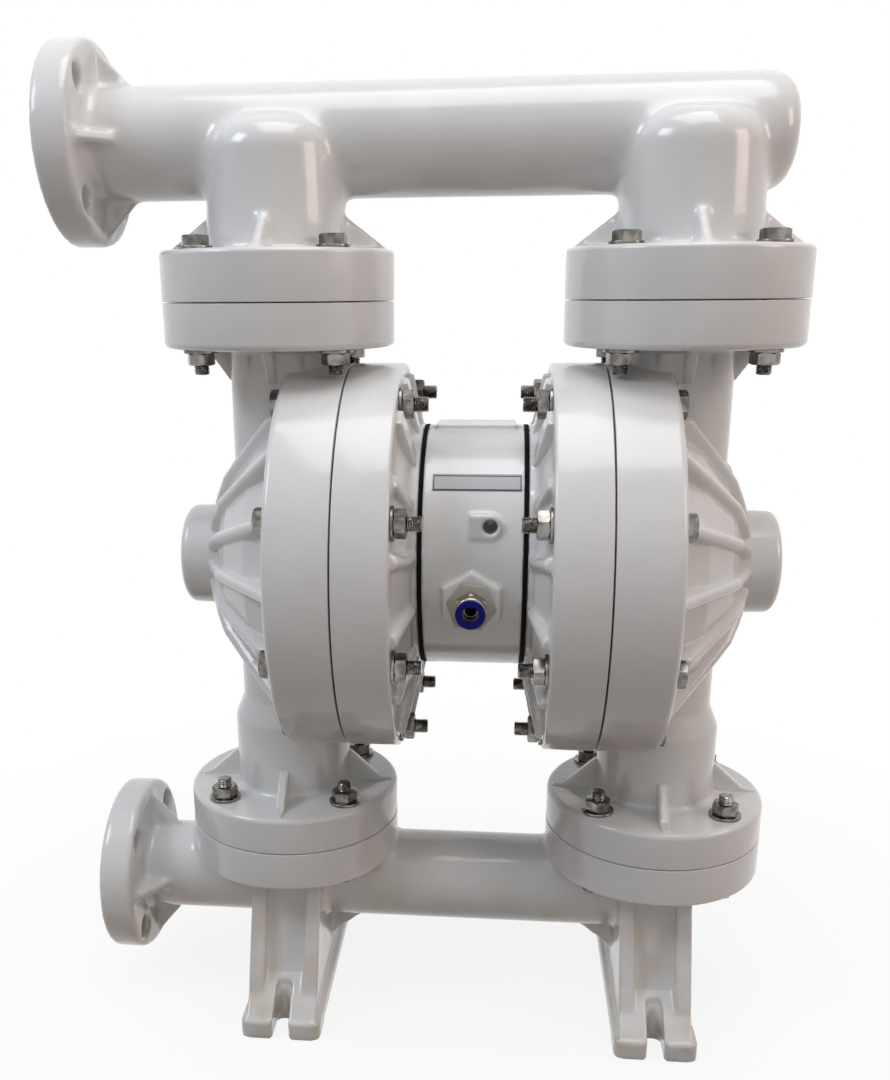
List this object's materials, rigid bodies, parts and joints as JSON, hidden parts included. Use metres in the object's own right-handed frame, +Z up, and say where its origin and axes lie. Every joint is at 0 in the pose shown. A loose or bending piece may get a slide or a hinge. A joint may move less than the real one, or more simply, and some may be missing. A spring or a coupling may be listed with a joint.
{
  "type": "air operated double diaphragm pump",
  "caption": "White plastic air operated double diaphragm pump with flanged inlet and outlet manifolds, ribbed chambers and slotted feet.",
  "frame": {"origin": "on the floor, midway between the four foot slots", "axes": "+X along the manifolds away from the port flanges, +Y back from the air inlet towards the exhaust muffler, +Z up"},
  "size_m": [0.5755, 0.399, 0.8002],
  "materials": {
    "white_polypropylene": "injection moulded white polypropylene, satin gloss",
    "stainless_steel": "stainless steel fasteners and shafts",
    "gasket_rubber": "black nitrile rubber",
    "diaphragm_ptfe": "white fluoropolymer faced diaphragm",
    "seat_ptfe": "white fluoropolymer valve seats and balls",
    "plate_metal": "cast aluminium diaphragm plates",
    "brushed_steel_parts": "ground stainless valve sleeve",
    "spool_acetal": "natural acetal",
    "bearing_bronze": "sintered bronze bushes",
    "bushing_nylon": "grey-beige moulded nylon",
    "nickel_plate": "nickel plated brass",
    "blue_acetal": "deep blue acetal",
    "bare_aluminium": "thin bare aluminium plate",
    "muffler_plastic": "porous white polyethylene"
  },
  "bodies": {
    "pump": {"air_cap_left": "white_polypropylene", "air_cap_right": "white_polypropylene", "air_cap_screws_left": "stainless_steel", "air_cap_screws_right": "stainless_steel", "air_inlet_bushing": "bushing_nylon", "centre_body": "white_polypropylene", "centre_gasket_left": "gasket_rubber", "centre_gasket_right": "gasket_rubber", "chamber_bolts_left": "stainless_steel", "chamber_bolts_right": "stainless_steel", "chamber_nuts_left": "stainless_steel", "chamber_nuts_right": "stainless_steel", "chamber_washers_left": "stainless_steel", "chamber_washers_right": "stainless_steel", "diaphragm_left": "diaphragm_ptfe", "diaphragm_right": "diaphragm_ptfe", "exhaust_muffler": "muffler_plastic", "fluid_cap_left": "white_polypropylene", "fluid_cap_right": "white_polypropylene", "inlet_joint_bolts": "stainless_steel", "inlet_joint_nuts": "stainless_steel", "inlet_joint_washers": "stainless_steel", "inlet_manifold": "white_polypropylene", "inlet_seat_left": "seat_ptfe", "inlet_seat_right": "seat_ptfe", "inlet_seat_ring_left": "gasket_rubber", "inlet_seat_ring_right": "gasket_rubber", "nameplate": "bare_aluminium", "outlet_joint_bolts": "stainless_steel", "outlet_joint_nuts": "stainless_steel", "outlet_joint_washers": "stainless_steel", "outlet_manifold": "white_polypropylene", "outlet_seat_left": "seat_ptfe", "outlet_seat_right": "seat_ptfe", "outlet_seat_ring_left": "gasket_rubber", "outlet_seat_ring_right": "gasket_rubber", "pilot_bushes": "bearing_bronze", "push_in_body": "nickel_plate", "rod_bushes": "bearing_bronze", "rod_seals": "gasket_rubber", "valve_block": "white_polypropylene", "valve_end_cap_left": "spool_acetal", "valve_end_cap_right": "spool_acetal", "valve_gasket": "gasket_rubber", "valve_screws": "stainless_steel", "valve_sleeve": "brushed_steel_parts"},
    "rod": {"diaphragm_rod": "stainless_steel", "inner_plate_left": "plate_metal", "inner_plate_right": "plate_metal", "outer_plate_left": "white_polypropylene", "outer_plate_right": "white_polypropylene"},
    "pilot": {"pilot_rod": "stainless_steel"},
    "spool": {"valve_spool": "spool_acetal"},
    "collar": {"release_collar": "blue_acetal"},
    "outlet_ball_left": {"outlet_ball_left": "seat_ptfe"},
    "outlet_ball_right": {"outlet_ball_right": "seat_ptfe"},
    "inlet_ball_left": {"inlet_ball_left": "seat_ptfe"},
    "inlet_ball_right": {"inlet_ball_right": "seat_ptfe"}
  },
  "joints": [
    {"name": "rod_slide", "type": "slide", "parent": "pump", "child": "rod", "axis": [1, 0, 0], "range_m": [-0.018, 0.018], "deforming": ["diaphragm_left", "diaphragm_right"]},
    {"name": "pilot_slide", "type": "slide", "parent": "pump", "child": "pilot", "axis": [1, 0, 0], "range_m": [-0.008, 0.008]},
    {"name": "spool_slide", "type": "slide", "parent": "pump", "child": "spool", "axis": [1, 0, 0], "range_m": [0, 0.011]},
    {"name": "outlet_ball_left_lift", "type": "slide", "parent": "pump", "child": "outlet_ball_left", "axis": [0, 0, 1], "range_m": [0, 0.014]},
    {"name": "outlet_ball_right_lift", "type": "slide", "parent": "pump", "child": "outlet_ball_right", "axis": [0, 0, 1], "range_m": [0, 0.014]},
    {"name": "inlet_ball_left_lift", "type": "slide", "parent": "pump", "child": "inlet_ball_left", "axis": [0, 0, 1], "range_m": [0, 0.014]},
    {"name": "inlet_ball_right_lift", "type": "slide", "parent": "pump", "child": "inlet_ball_right", "axis": [0, 0, 1], "range_m": [0, 0.014]},
    {"name": "collar_push", "type": "slide", "parent": "pump", "child": "collar", "axis": [0, 1, 0], "range_m": [0, 0.0015], "stiffness_N_per_m": 400, "springref_m": -0.0005}
  ],
  "couplings": [
    {"joint": "pilot_slide", "follows": "rod_slide", "ratio": 0.44444}
  ]
}
